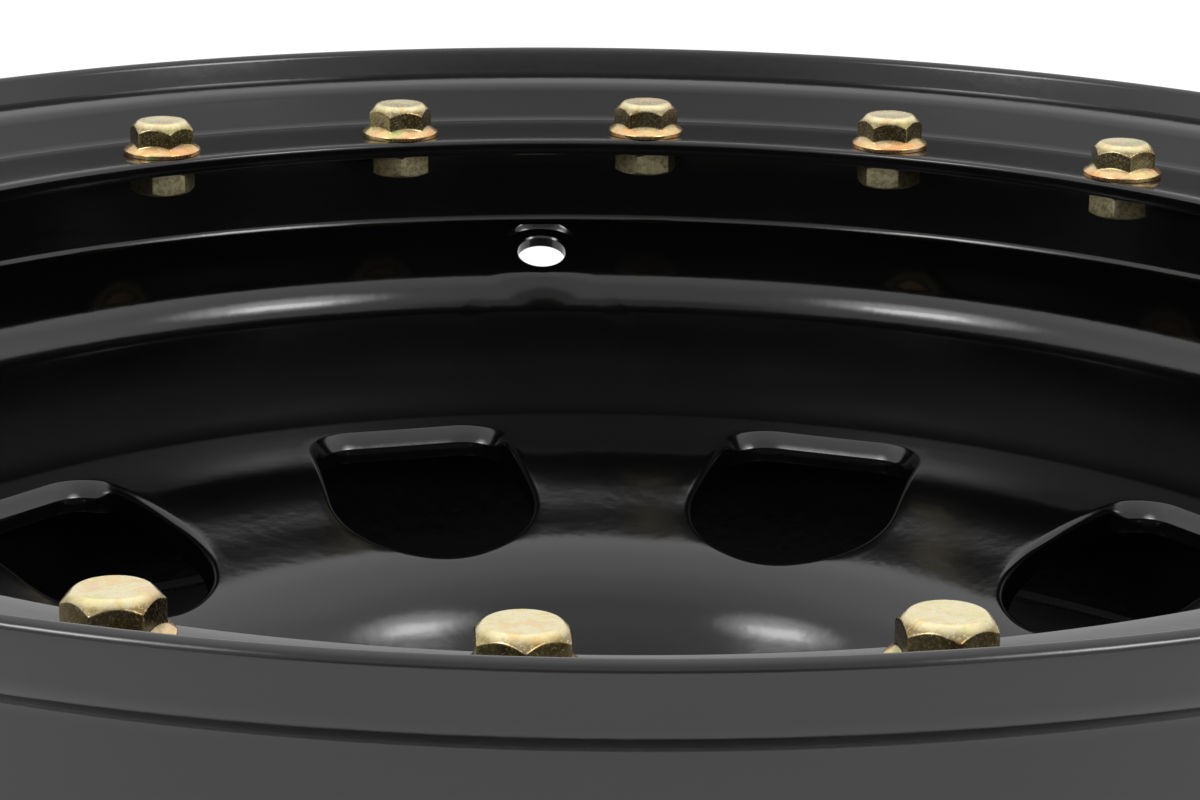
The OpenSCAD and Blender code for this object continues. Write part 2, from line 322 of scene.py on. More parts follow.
class Recipe:
    """The node tree of one material, or of the world."""

    def __init__(self, owner):
        owner.use_nodes = True
        self.tree = owner.node_tree
        self.tree.nodes.clear()

    def node(self, kind, inputs=None, **settings):
        """Adds a node with its settings, and gives each socket its value or its wire."""
        made = self.tree.nodes.new(kind)
        for key, value in settings.items():
            setattr(made, key, value)
        for key, value in (inputs or {}).items():
            if isinstance(value, Wire):
                self.tree.links.new(value.socket, made.inputs[key])
            else:
                made.inputs[key].default_value = value
        return Placed(self, made)

    def place(self):
        """The place in the object's own space."""
        return self.node("ShaderNodeTexCoord").out("Object")

    def axes(self, vector):
        """The three parts of a vector."""
        made = self.node("ShaderNodeSeparateXYZ", {0: vector})
        return made.out(0), made.out(1), made.out(2)

    def noise(self, scale, detail=2.0, rough=0.5, distortion=0.0):
        """Noise from 0 to 1 in the object's own space; scale is in waves to a metre."""
        inputs = {"Vector": self.place(), "Scale": scale, "Detail": detail}
        inputs |= {"Roughness": rough, "Distortion": distortion}
        return self.node("ShaderNodeTexNoise", inputs).out()

    def between(self, wire, low, high, to_low=0.0, to_high=1.0):
        """Carries the stretch from low to high over to another stretch, and clips there."""
        inputs = {"Value": wire, "From Min": low, "From Max": high}
        inputs |= {"To Min": to_low, "To Max": to_high}
        return self.node("ShaderNodeMapRange", inputs).out()

    def ramp(self, factor, stops):
        """Colour read off a ramp; stops are (place, colour) pairs from left to right."""
        made = self.node("ShaderNodeValToRGB", {"Fac": factor})
        marks = made.node.color_ramp.elements
        while len(marks) < len(stops):
            marks.new(0.5)
        for mark, (place, colour) in zip(marks, stops):
            mark.position = place
            mark.color = (*colour, 1)
        return made.out()

    def mix(self, factor, first, second):
        """Colour between two colours."""
        return self.node("ShaderNodeMix", {0: factor, 6: first, 7: second}, data_type="RGBA").out(2)

    def bump(self, height, strength, distance):
        """Normal of a relief; the distance is its greatest height in metres."""
        inputs = {"Strength": strength, "Distance": distance, "Height": height}
        return self.node("ShaderNodeBump", inputs).out()

    def surface(self, shader, inputs):
        """The shader of the material, joined to its output."""
        self.node("ShaderNodeOutputMaterial", {"Surface": self.node(shader, inputs).out()})


def rgb(red, green, blue):
    return (red, green, blue, 1)


# %% [markdown]
# The black coat has three layers of detail: the long waves of orange peel, a fine grain that
# breaks up the highlights, and a slow drift of gloss from spot to spot. All of them are bumps
# of a few thousandths of a millimetre, so the shape stays true.

# %% Gloss black coat
PEEL_WAVES = 330
GRAIN_WAVES = 2600
COAT_IOR = 1.6
COAT_DARK = (0.0016, 0.0016, 0.0017)
COAT_PALE = (0.0030, 0.0030, 0.0031)
WELL_HEIGHT = (0.068, 0.058)
WELL_REACH = (0.0310, 0.0314)


def black_coat():
    """Dark base under a glossy film; three noises bend the surface and change its gloss.

    The drop well, found by its height and its squared radius in metres, is rougher.
    """
    material = bpy.data.materials.new("gloss_black_coat")
    recipe = Recipe(material)
    peel = recipe.noise(PEEL_WAVES, 2.0, 0.45)
    grain = recipe.noise(GRAIN_WAVES, 1.0)
    drift = recipe.noise(28, 3.0, 0.55)
    x, y, height = recipe.axes(recipe.place())
    reach = x * x + y * y
    well = recipe.between(height, *WELL_HEIGHT) * recipe.between(reach, *WELL_REACH)
    relief = peel * 0.85 + grain * (0.08 + well * 0.5)
    inputs = {
        "Base Color": recipe.mix(drift, rgb(*COAT_DARK), rgb(*COAT_PALE)),
        "Roughness": recipe.between(drift, 0.3, 0.7, 0.11, 0.16) + well * 0.22,
        "Normal": recipe.bump(relief, 0.30, 0.00010),
        "IOR": COAT_IOR,
    }
    recipe.surface("ShaderNodeBsdfPrincipled", inputs)
    return material


BLACK_COAT = black_coat()
print("coat:", BLACK_COAT.name, "peel", round(1000 / PEEL_WAVES, 1), "mm from wave to wave")

# %% [markdown]
# Yellow zinc is thin enough to show colours like a soap film. The drift of colour is a noise
# that runs through a ramp from leaf green over straw to rose, and darker spots stand for the
# marks that a barrel of tumbling bolts leaves. The flange is warmer. The flats of the hex get
# painted shade: a darker colour and more of the dark spots, broken by bright flecks of the
# top's colour.

# %% Yellow zinc plating
TOP_BAND = (0.0012, 0.0004)
FLANGE_BAND = (0.0058, 0.0050)
# Dark colour of the tumble marks; on the hex flats it also serves as painted shade.
STAIN_AND_SHADE = (0.26, 0.20, 0.08)


def zinc(name, stops, roughness, top_height, top_colour, skirt_colour, flat_shade_colour):
    """Coloured film with own colours for top and flange, and painted shade on the hex flats.

    The bands where one colour gives way to the next are depths in metres under the top.
    """
    material = bpy.data.materials.new(name)
    recipe = Recipe(material)
    height = recipe.axes(recipe.place())[2]
    top = recipe.between(height, top_height - TOP_BAND[0], top_height - TOP_BAND[1])
    film = recipe.noise(150, 3.0, 0.6, 0.8)
    spots = recipe.noise(900, 3.0, 0.65)
    scratches = recipe.noise(2400, 2.0, 0.6)
    tint = recipe.ramp(film, stops)
    above_flange = recipe.between(height, top_height - FLANGE_BAND[0], top_height - FLANGE_BAND[1])
    faces = above_flange * (1 - top)
    # Painted shade: the hex flats are darkened towards the flats' shade colour.
    flat_shade = faces * recipe.between(film, 0.35, 0.60, 0.55, 0.92)
    marks_and_shade = recipe.between(spots, 0.50, 0.72, 0.0, 0.35)
    # The extra dark spots on the flats are painted shade as well.
    marks_and_shade = marks_and_shade + faces * recipe.between(spots, 0.45, 0.60, 0.0, 0.45)
    skirt = (1 - above_flange) * recipe.between(film, 0.38, 0.56, 0.25, 0.85)
    sides = recipe.mix(skirt, tint, rgb(*skirt_colour))
    sides = recipe.mix(flat_shade, sides, rgb(*flat_shade_colour))
    sides = recipe.mix(marks_and_shade, sides, rgb(*STAIN_AND_SHADE))
    flecks = faces * recipe.between(scratches, 0.56, 0.70, 0.0, 0.6)
    sides = recipe.mix(flecks, sides, rgb(*top_colour))
    pale = recipe.mix(top * 0.5, sides, rgb(*top_colour))
    inputs = {
        "Base Color": pale,
        "Metallic": 1.0,
        "Roughness": recipe.between(scratches, 0.3, 0.7, roughness - 0.06, roughness + 0.08),
        "Normal": recipe.bump(spots * 0.7 + scratches * 0.3, 0.35, 0.00005),
    }
    recipe.surface("ShaderNodeBsdfPrincipled", inputs)
    return material


STRAW = (0.84, 0.68, 0.30)
ROSE = (0.85, 0.47, 0.36)
CREAM = (0.84, 0.76, 0.50)
LEAF = (0.52, 0.62, 0.26)
AMBER = (0.84, 0.54, 0.14)
PALE = (0.82, 0.74, 0.47)
FILM = [(0.30, LEAF), (0.40, STRAW), (0.50, CREAM), (0.58, AMBER), (0.68, ROSE)]
COPPER = (0.80, 0.42, 0.18)
# Painted shade colour for the bolts' hex flats.
FLAT_SHADE_BROWN = (0.16, 0.11, 0.05)
BRIGHT_ZINC = zinc("bright_plating", FILM, 0.24, 0.1202, PALE, COPPER, FLAT_SHADE_BROWN)
KHAKI = (0.92, 0.83, 0.54)
OLIVE = (0.66, 0.59, 0.35)
DULL_FILM = [(0.35, OLIVE), (0.5, KHAKI), (0.65, OLIVE)]
# The nuts' hex flats get olive as painted shade.
DULL_ZINC = zinc("dull_plating", DULL_FILM, 0.44, 0.1091, KHAKI, KHAKI, OLIVE)
print("platings:", BRIGHT_ZINC.name, DULL_ZINC.name)

# %% [markdown]
# ## Rim
# The rim is one rolled strip: a curled lip, the flange, the bead seat, a ledge down to the
# drop well, and the same again on the other side. Where the valve goes through, the ledge was
# pressed flat. So the strip is a revolved grid with a rectangle left out, and a finer grid
# round the valve hole fills that rectangle.

# %% Sizes of the rim
RIM_SHEET = 3.2
SEAT_RADIUS = 202.8
LIP_LEAN = 15
LIP_FOOT = 215.7
LIP_ROUND_WIDTH = 1.5
LIP_ROUND_HEIGHT = 1.7
LIP_ROUND_OUTER = 1.7
FLANGE_RADIUS = 220.1
LIP_LOW = -101.6
CURL_DEPTH = 15.4
CURL_DEPTH_LOW = 10.0
CURL_RADIUS = 9.5
CURL_RADIUS_LOW = 8.0
WELL_RADIUS = 178.5
LEDGE_ANGLE = 33
SEAT_ANGLE = 5
HEEL_BEND = 8.1
CREASE_BEND = 4.6
CREST_BEND = 10.4
WELL_LOW = 5
WELL_LOW_BEND = 12
SEAT_RUN_TOP = 25.44
SEAT_RUN_LOW = 30.0


def tan(degrees):
    return math.tan(math.radians(degrees))


def rim_sheet():
    """The middle line of the rim's sheet and its bends, from the outboard to the inboard lip."""
    half = RIM_SHEET / 2
    lip = FLANGE_RADIUS - half
    seat = SEAT_RADIUS - half
    web_top = LIP_TOP - CURL_DEPTH + half
    web_low = LIP_LOW + CURL_DEPTH_LOW - half
    crease = seat - SEAT_RUN_TOP * tan(SEAT_ANGLE)
    crease_low = seat - SEAT_RUN_LOW * tan(SEAT_ANGLE)
    crease_height = web_top - SEAT_RUN_TOP
    well = WELL_RADIUS + half
    rise = LIP_TOP - LIP_ROUND_HEIGHT * math.cos(math.radians(LIP_LEAN)) - web_top
    corners = [
        (LIP_FOOT + rise * tan(LIP_LEAN), web_top + rise),
        (LIP_FOOT, web_top),
        (seat, web_top),
        (crease, crease_height),
        (well, crease_height - (crease - well) * tan(LEDGE_ANGLE)),
        (well, WELL_LOW),
        (crease_low, web_low + SEAT_RUN_LOW),
        (seat, web_low),
        (lip, web_low),
        (lip, LIP_LOW + half),
    ]
    curls = [CURL_RADIUS - half, CURL_RADIUS_LOW - half]
    ledge = [CREASE_BEND, CREST_BEND, WELL_LOW_BEND, CREASE_BEND]
    return corners, [curls[0], HEEL_BEND, *ledge, HEEL_BEND, curls[1]]


def lip_end(outside, inside):
    """Rounded end of the upper lip: a small arc outside and a quarter of an ellipse inside.

    Both are measured from the middle of the sheet, along and across the leaning lip.
    """
    out = unit(outside - inside)
    up = left_of(out)
    half = RIM_SHEET / 2
    a = np.radians(np.linspace(0, 90, 7))[:, None]
    b = np.radians(np.linspace(90, 180, 15))[1:, None]
    round_middle = half - LIP_ROUND_OUTER
    outer = (round_middle + LIP_ROUND_OUTER * np.cos(a)) * out
    outer = outer + (LIP_ROUND_HEIGHT - LIP_ROUND_OUTER * (1 - np.sin(a))) * up
    inner = (round_middle + LIP_ROUND_WIDTH * np.cos(b)) * out + LIP_ROUND_HEIGHT * np.sin(b) * up
    return (outside + inside) / 2 + np.concatenate([outer, inner[:-1]])


rim_inside, rim_outside = sheet_faces(*rim_sheet(), RIM_SHEET / 2)
rim_loop = np.concatenate(
    [
        rim_inside,
        half_round(rim_inside[-1], rim_outside[-1]),
        rim_outside[::-1],
        lip_end(rim_outside[0], rim_inside[0]),
        rim_inside[:1],
    ]
)
print("points round the rim's section:", len(rim_loop))

# %% [markdown]
# The pressed flat is less steep than the ledge, so it is sunk into the ledge near the crease
# and stands proud near the crest. A weight that is 1 on the flat and falls to 0 around it
# carries the ledge over into the flat. The fall is short on the sunk side, like a punched
# step, and long on the proud side, where the sheet bulges.

# %% The flat round the valve hole
VALVE_RADIUS = 5.75
VALVE_PLACE = 188.7
VALVE_TILT = 24
FLAT_RADIUS = 8.7
FLAT_RADIUS_LOW = 6.1
STEP_WIDTH = 0.9
BULGE_WIDTH = 9.0
PATCH_TURN = 7.0
PATCH_COLUMNS = 36
COARSE_COLUMNS = 184
EDGE_ROUND = 0.35
PATCH_BELOW = 24
FLAT_RINGS = [6.6, 7.4, 8.1]
STEP_START = 8.4
STEP_RINGS = 12
OUTWARD_STEPS = 24

rim_length = np.concatenate([[0], np.cumsum(np.linalg.norm(np.diff(rim_inside, axis=0), axis=1))])


def find_place(line, first, last, column, value):
    """Fractional index between first and last where that coordinate of a line has a value."""
    index = np.arange(first, last + 1)
    known = line[first : last + 1, column]
    order = np.argsort(known)
    return float(np.interp(value, known[order], index[order]))


ledge_rows = np.where((rim_inside[:, 1] > 60) & (rim_inside[:, 1] < 100))[0]
valve_row = find_place(rim_inside, ledge_rows[0], ledge_rows[-1], 0, VALVE_PLACE)
valve_length = float(np.interp(valve_row, np.arange(len(rim_length)), rim_length))
valve_height = float(np.interp(valve_row, np.arange(len(rim_inside)), rim_inside[:, 1]))
crease_angle = math.radians(LEDGE_ANGLE)
runs = np.diff(rim_inside, axis=0)
on_ledge = np.abs(runs[:, 1] / np.linalg.norm(runs, axis=1) + math.sin(crease_angle)) < 1e-3
patch_top = int(np.where(on_ledge & (rim_inside[:-1, 1] > 60))[0][0])
patch_low = int(np.searchsorted(rim_length, valve_length + PATCH_BELOW))
print("valve hole at height", round(valve_height, 1), "patch rows", patch_top, patch_low)


def valve_patch():
    """Grids of the visible side, the hole's wall and the tyre side round the valve hole.

    Rings grow from the hole's circle over the flat and its step to the left-out rectangle.
    x is the length along the wheel's turn and y the length up the ledge, both from the hole.
    """
    rows = np.arange(patch_top, patch_low + 1)
    across = np.linspace(-PATCH_TURN, PATCH_TURN, PATCH_COLUMNS + 1)
    up = valve_length - rim_length[rows]
    level = 0 * across[1:]
    upright = 0 * up[1:]
    sides = [across[:-1], upright + PATCH_TURN, across[:0:-1], upright - PATCH_TURN, across[:1]]
    heights = [level + up[0], up[:-1], level + up[-1], up[:0:-1], up[:1]]
    edge_x = math.radians(1) * VALVE_PLACE * np.concatenate(sides)
    edge_y = np.concatenate(heights)
    turn = corner_turns(PATCH_COLUMNS, len(rows) - 1)
    squash = math.cos(math.radians(LEDGE_ANGLE)) / math.cos(math.radians(VALVE_TILT))

    lower = smooth_step(0.5 - 0.7 * np.sin(turn))
    step = STEP_WIDTH + (BULGE_WIDTH - STEP_WIDTH) * lower
    flat = FLAT_RADIUS + (FLAT_RADIUS_LOW - FLAT_RADIUS) * lower
    rings = [0 * turn + r for r in [VALVE_RADIUS, VALVE_RADIUS + EDGE_ROUND, *FLAT_RINGS]]
    for share in np.linspace(0, 1, STEP_RINGS):
        rings.append(STEP_START + share * (flat + step - STEP_START))
    rings = np.array(rings)
    weight = smooth_step(1 - (rings - flat) / step)
    x = rings * np.cos(turn)
    y = rings * np.sin(turn) / squash
    outward = np.linspace(0, 1, OUTWARD_STEPS + 1)[1:, None]
    x = fan(x, edge_x, outward)
    y = fan(y, edge_y, outward)
    weight = np.concatenate([weight, np.zeros((len(outward), len(turn)))])

    place = np.interp(valve_length - y, rim_length, np.arange(len(rim_length)))
    inside = at_places(rim_inside, place)
    outside = at_places(rim_outside, place)
    tilt = math.radians(VALVE_TILT)
    plane = valve_height + (inside[..., 0] - VALVE_PLACE) * math.tan(tilt)
    pressed = inside.copy()
    pressed[..., 1] += weight * (plane - inside[..., 1])
    through = RIM_SHEET * np.array([math.sin(tilt), -math.cos(tilt)])
    backed = outside + weight[..., None] * (pressed + through - outside)
    pressed[0] += EDGE_ROUND * through / RIM_SHEET
    backed[0] -= EDGE_ROUND * through / RIM_SHEET
    visible = around(pressed, x / VALVE_PLACE)
    hidden = around(backed, x / VALVE_PLACE)
    return [visible, np.stack([visible[0], hidden[0]]), hidden]


def rim_grids():
    """All grids of the rim: the long way round in one, then what is above and below the patch."""
    fine = np.linspace(-PATCH_TURN, PATCH_TURN, PATCH_COLUMNS + 1)
    coarse = np.linspace(PATCH_TURN, 360 - PATCH_TURN, COARSE_COLUMNS + 1)
    count = len(rim_inside)
    ends = len(half_round(rim_inside[-1], rim_outside[-1]))
    back_top = 2 * count + ends - 1 - patch_top
    back_low = 2 * count + ends - 1 - patch_low
    return [
        revolve(rim_loop, coarse),
        revolve(rim_loop[: patch_top + 1], fine),
        revolve(rim_loop[patch_low : back_low + 1], fine),
        revolve(rim_loop[back_top:], fine),
    ] + valve_patch()


rim = make_object("rim", *weld(rim_grids()), BLACK_COAT, ["rim_barrel"])
print("rim faces:", len(rim.data.polygons))

# %% [markdown]
# ## Disc
# The disc is pressed from thicker sheet. Its profile runs from the flange that is pressed
# into the drop well, over a round crown, down a shallow cone with ten windows, and into a deep
# bowl with the hub pad. Each window is a D with its flat side outward, and its edge is rolled
# inward. Round each window a grid of rings grows from the rolled edge to the borders of a
# sector of 36 degrees, and ten such cells meet edge to edge.

# %% Sizes of the disc
DISC_SHEET = 5.0
CROWN_HEIGHT = 47.6
BAND_ANGLE = 18.5
BOWL_ANGLE = 68
BORE_RADIUS = 39.05
DISC_TURN = 5.8
WINDOW_COUNT = 10
WINDOW_PLACE = 136.0
WINDOW_ROUND = 24.8
WINDOW_ROUND_BACK = 3.2
WINDOW_REACH = 29.2
WINDOW_CORNER = 12.5
WINDOW_SPREAD = 11.9
SOFT_EDGE = 1.8
BEVEL_EDGE = 3.2
BEVEL_START = 0.05
BEVEL_BLEND = 0.5
BEVEL_POWER = 0.74
LIP_THICK = 4.0
TURNED_IN = 6.5
FLANGE_LOW = 14.0
SHOULDER_PLACE = 153.0
KINK_PLACE = 127.0
KINK_HEIGHT = 35.8
BOWL_PLACE = 103.3
BOWL_HEIGHT = 28.9
DISC_BENDS = [6.5, 94, 100, 24, 10]
disc_half = DISC_SHEET / 2
crown_line = CROWN_HEIGHT - disc_half
pad_place = BOWL_PLACE - (BOWL_HEIGHT - disc_half) / tan(BOWL_ANGLE)
disc_corners = [
    (WELL_RADIUS - disc_half, FLANGE_LOW),
    (WELL_RADIUS - disc_half, crown_line),
    (SHOULDER_PLACE, crown_line),
    (KINK_PLACE, KINK_HEIGHT),
    (BOWL_PLACE, BOWL_HEIGHT),
    (pad_place, disc_half),
    (BORE_RADIUS, disc_half),
]
disc_front, disc_back = sheet_faces(disc_corners, DISC_BENDS, disc_half)
print("hub pad ends at radius", round(pad_place, 1))

# %% [markdown]
# A point of the disc is given by its place on the level plane and its depth under the front
# face. The radius finds the row of the profile, the front face is the point there, and the
# depth goes straight through the sheet towards the back face. Rolled edges, bosses and the
# sheet's own thickness are then nothing but depths.

# %% Points of the disc by place and depth
CELL_OUTER = 168
CELL_INNER = 103
LUG_CELL_OUTER = 81.5
LUG_CELL_INNER = 43
CROWN_INSIDE = 172
FLANGE_TOP = 6

below_crown = (disc_front[:, 0] < CROWN_INSIDE) & (disc_front[:, 1] > FLANGE_TOP)
all_rows = np.arange(np.where(below_crown)[0][0], len(disc_front))


def row_of(radius):
    """Fractional row of the front face at a radius, from the crown inward."""
    known = disc_front[all_rows, 0]
    order = np.argsort(known)
    return np.interp(radius, known[order], all_rows[order])


def disc_points(x, y, depth):
    """Points under level places x, y: the front face moved through the sheet by the depth."""
    radius = np.hypot(x, y)
    row = row_of(radius)
    front = at_places(disc_front, row)
    back = at_places(disc_back, row)
    section = front + (back - front) / DISC_SHEET * depth[..., None]
    out = section[..., 0] / radius
    return np.stack([x * out, y * out, section[..., 1]], -1)


def turned(points, turn):
    """Points turned clockwise about the wheel's axis by an angle in degrees."""
    a = math.radians(turn)
    x = points[..., 0] * math.cos(a) + points[..., 1] * math.sin(a)
    y = points[..., 1] * math.cos(a) - points[..., 0] * math.sin(a)
    return np.stack([x, y, points[..., 2]], -1)


def nearest_row(radius):
    return int(round(float(row_of(radius))))


cell_outer = nearest_row(CELL_OUTER)
cell_inner = nearest_row(CELL_INNER)
lug_outer = nearest_row(LUG_CELL_OUTER)
lug_inner = nearest_row(LUG_CELL_INNER)
print("rows:", cell_outer, cell_inner, lug_outer, lug_inner, "of", len(disc_front))

# %% [markdown]
# The outline of a window is a large round end towards the hub and two smaller corners, joined
# by straight lines. It is walked by the direction that its edge faces, which makes the arcs
# simple, and the straight lines are where that direction stands still. Walking by direction
# also gives the normal that the rolled edge needs.

# %% Outline of a window
ROUND_COLUMNS = 28
SIDE_COLUMNS = 24
TURN_WEIGHT = 6.0


def d_outline():
    """Points and outward normals of the D, split at the four corners of its sector's cell.

    The stretches are the outer side, the right flank, the hub end and the left flank. Points
    stand closer together in the turns: steps are even in length plus a share of the turn.
    """
    hub = np.array([0, -WINDOW_ROUND_BACK])
    corner = np.array([WINDOW_SPREAD, WINDOW_REACH - WINDOW_CORNER])
    gap = corner - hub
    reach = math.acos((WINDOW_ROUND - WINDOW_CORNER) / np.linalg.norm(gap))
    join = math.degrees(math.atan2(gap[1], gap[0]) - reach)

    def bow(middle, radius, start, end, steps=40):
        a = np.radians(np.linspace(start, end, steps))[:, None]
        normal = np.concatenate([np.cos(a), np.sin(a)], 1)
        return np.concatenate([np.array(middle) + radius * normal, normal], 1)

    left = (-corner[0], corner[1])
    right = (corner[0], corner[1])
    small = WINDOW_CORNER
    large = WINDOW_ROUND
    stretches = [
        [bow(left, small, 135, 90), bow(right, small, 90, 45)],
        [bow(right, small, 45, join), bow(hub, large, join, -45)],
        [bow(hub, large, -45, -135)],
        [bow(hub, large, -135, -180 - join), bow(left, small, 180 - join, 135)],
    ]
    parts = []
    for arcs, count in zip(stretches, [ROUND_COLUMNS, SIDE_COLUMNS] * 2):
        line = np.concatenate(arcs)
        step = np.linalg.norm(np.diff(line[:, :2], axis=0), axis=1)
        step = step + TURN_WEIGHT * np.linalg.norm(np.diff(line[:, 2:], axis=0), axis=1)
        walked = np.concatenate([[0], np.cumsum(step)])
        even = np.interp(np.linspace(0, walked[-1], count + 1)[:-1], walked, np.arange(len(line)))
        parts.append(at_places(line, even))
    parts.append(parts[0][:1])
    line = np.concatenate(parts)
    normal = line[:, 2:] / np.linalg.norm(line[:, 2:], axis=1)[:, None]
    return line[:, :2], normal


def cell_border(outer_radius, inner_radius, half_turn, along, down):
    """Border of a sector, clockwise from its outer left corner.

    It goes along the outer arc, down the right side, back on the inner arc and up the left.
    """
    a = np.radians(np.linspace(-half_turn, half_turn, along + 1))
    r = np.linspace(outer_radius, inner_radius, down + 1)
    side = math.radians(half_turn)
    still = 0 * r[1:]
    level = 0 * a[1:]
    angle = np.concatenate([a[:-1], still + side, a[:0:-1], still - side, a[:1]])
    arcs = [level + outer_radius, r[:-1], level + inner_radius, r[:0:-1], [outer_radius]]
    radius = np.concatenate(arcs)
    return radius * np.sin(angle), radius * np.cos(angle)


# %% [markdown]
# The edge is a curve in the thickness of the sheet. On the flanks and at the hub end the press
# left a small round, and on the outer side a flat bevel that catches the light. The curve is a
# superellipse, whose exponent goes from 2, a round, to nearly 1, a bevel. Past the curve the
# edge goes straight down a little and is cut off square.

# %% One window's cell
def window_cell():
    """Grids of the front, the cut edge and the back of one sector, with the window in it."""
    outline, normal = d_outline()
    slope = math.cos(math.radians(BAND_ANGLE))
    centre = WINDOW_PLACE - disc_half * math.sin(math.radians(BAND_ANGLE))
    bevel = smooth_step((normal[:, 1] - BEVEL_START) / BEVEL_BLEND)
    width = SOFT_EDGE + (BEVEL_EDGE - SOFT_EDGE) * bevel
    power = 1 + BEVEL_POWER * bevel
    roll = np.radians(np.linspace(90, 0, 10))[:, None]
    reach = disc_front[[cell_outer, cell_inner], 0]
    border_x, border_y = cell_border(*reach, 180 / WINDOW_COUNT, ROUND_COLUMNS, SIDE_COLUMNS)
    spread = np.linspace(0, 1, 9)[1:, None]

    def face(away, deep, depth):
        x = outline[:, 0] + away * normal[:, 0]
        y = centre + slope * (outline[:, 1] + away * normal[:, 1])
        deep = np.concatenate([deep + 0 * away, depth + 0 * spread * x[-1]])
        return disc_points(fan(x, border_x, spread), fan(y, border_y, spread), deep)

    cut = TURNED_IN + 0 * width[None, :]
    away = -width * np.sin(roll) ** power
    deep = width * (1 - np.cos(roll) ** power)
    front = face(np.concatenate([away[:1], away]), np.concatenate([cut, deep]), 0.0)
    away = LIP_THICK + 1 - width - np.sin(roll)
    deep = DISC_SHEET + 1 - np.cos(roll) + 0 * width
    back = face(np.concatenate([away[:1], away]), np.concatenate([cut, deep]), DISC_SHEET)
    return [front, np.stack([front[0], back[0]]), back]


# %% [markdown]
# The hub pad has five lug holes. Round each one the sheet was raised into a boss, and the
# hole has a cone that centres the nut. The same kind of cell does the job, with 72 degrees a
# sector.

# %% One lug hole's cell
LUG_COUNT = 5
LUG_PLACE = 63.5
LUG_RADIUS = 7.75
LUG_BOSS = 3.0
BOSS_TOP_RADIUS = 14.0
BOSS_FOOT_RADIUS = 17.0
LUG_BACK_RADIUS = 11.0
SEAT_DEPTH = 3.0
LUG_ALONG = ROUND_COLUMNS * WINDOW_COUNT // LUG_COUNT
LUG_DOWN = 14
SEAT_SLOPE = 30
BOSS_STEPS = np.linspace(0, 1, 7)
BACK_EDGE = np.array([-0.6, -0.2, 0, 0.4])


def lug_cell():
    """Grids of one sector of the hub pad: the front with its boss, the hole's wall, the back."""
    reach = disc_front[[lug_outer, lug_inner], 0]
    border_x, border_y = cell_border(*reach, 180 / LUG_COUNT, LUG_ALONG, LUG_DOWN)
    turn = corner_turns(LUG_ALONG, LUG_DOWN)
    spread = np.linspace(0, 1, 8)[1:, None]
    seat_radius = LUG_RADIUS + SEAT_DEPTH * tan(SEAT_SLOPE)

    def face(radii, depths, rest):
        radii = np.array(radii)[:, None]
        x = radii * np.cos(turn)
        y = LUG_PLACE + radii * np.sin(turn)
        deep = np.array(depths)[:, None] + 0 * x
        deep = np.concatenate([deep, rest + 0 * spread * x[-1]])
        return disc_points(fan(x, border_x, spread), fan(y, border_y, spread), deep)

    slope_radii = BOSS_TOP_RADIUS + (BOSS_FOOT_RADIUS - BOSS_TOP_RADIUS) * BOSS_STEPS
    slope_depths = -LUG_BOSS * (1 - smooth_step(BOSS_STEPS))
    radii = [LUG_RADIUS, seat_radius, seat_radius + 0.2, 12, *slope_radii]
    depths = [LUG_BOSS - SEAT_DEPTH, -LUG_BOSS + 0.1, -LUG_BOSS, -LUG_BOSS, *slope_depths]
    front = face(radii, depths, 0.0)
    floor_depth = DISC_SHEET - LUG_BOSS
    rest = DISC_SHEET
    radii = [LUG_RADIUS, *(LUG_BACK_RADIUS + BACK_EDGE), BOSS_TOP_RADIUS, BOSS_FOOT_RADIUS]
    depths = [floor_depth, floor_depth, floor_depth + 0.4, rest - 0.4, rest, rest, rest]
    back = face(radii, depths, rest)
    return [front, np.stack([front[0], back[0]]), back]


def disc_grids():
    """The revolved stretches of the disc and its fifteen cells, all on the same columns."""
    turns = ring_turns(ROUND_COLUMNS * WINDOW_COUNT, DISC_TURN)
    edge = np.stack([disc_front[0], disc_back[0]])
    bore = np.stack([disc_front[-1], disc_back[-1]])
    stretches = [slice(0, cell_outer + 1), slice(cell_inner, lug_outer + 1), slice(lug_inner, None)]
    grids = [revolve(face[s], turns) for s in stretches for face in (disc_front, disc_back)]
    grids += [revolve(edge, turns), revolve(bore, turns)]
    window = window_cell()
    for i in range(WINDOW_COUNT):
        grids += [turned(g, DISC_TURN + (i + 0.5) * 360 / WINDOW_COUNT) for g in window]
    lug = lug_cell()
    for i in range(LUG_COUNT):
        grids += [turned(g, DISC_TURN + i * 360 / LUG_COUNT) for g in lug]
    return grids


disc = make_object("disc", *weld(disc_grids()), BLACK_COAT, ["wheel_disc"])
print("disc faces:", len(disc.data.polygons))

# %% [markdown]
# ## Ring
# The ring that the bolts hold is a plate that is set in where the bead seat begins. Its outer
# edge rises over the bend of the rim in a rounded ridge, and a narrow shelf joins that ridge to
# the lip, so from above it looks like the clamp of a real beadlock. A thin line of light runs
# along its inner edge, because that edge was broken before the ring was coated.

# %% Ring
RING_TOP = 112.6
RING_SHEET = 3.5
RING_INNER = 176.8
RING_EDGE = 1.0
RING_GAP = 0.1
RAISED_ROUND = 4.2
RAISED_FOOT = 211.2
RAISED_SLOPE = 58
SHELF_SLOPE = 14
SHELF_EDGE = (207.2, 120.75)
SEAM_ROUND = 2.6
LIP_SEAM = 216.15
SHELF_TOP = 121.55
SHELF = [[212.5, 121.6], [211.0, 121.5], [209.8, 121.3], [208.5, 121.05]]
GROOVE = [[0.3, -2.9], [0.3, -0.5], [-0.1, -0.5], [-0.35, -0.1], [-0.7, 0]]
UNDER_EDGE = 0.3
RING_COLUMNS = 300


def arc(middle, radius, start, end, steps=6):
    """Points on a circle round the middle, at angles from start to end in degrees."""
    a = np.radians(np.linspace(start, end, steps + 1))[:, None]
    return np.array(middle) + radius * np.concatenate([np.cos(a), np.sin(a)], 1)


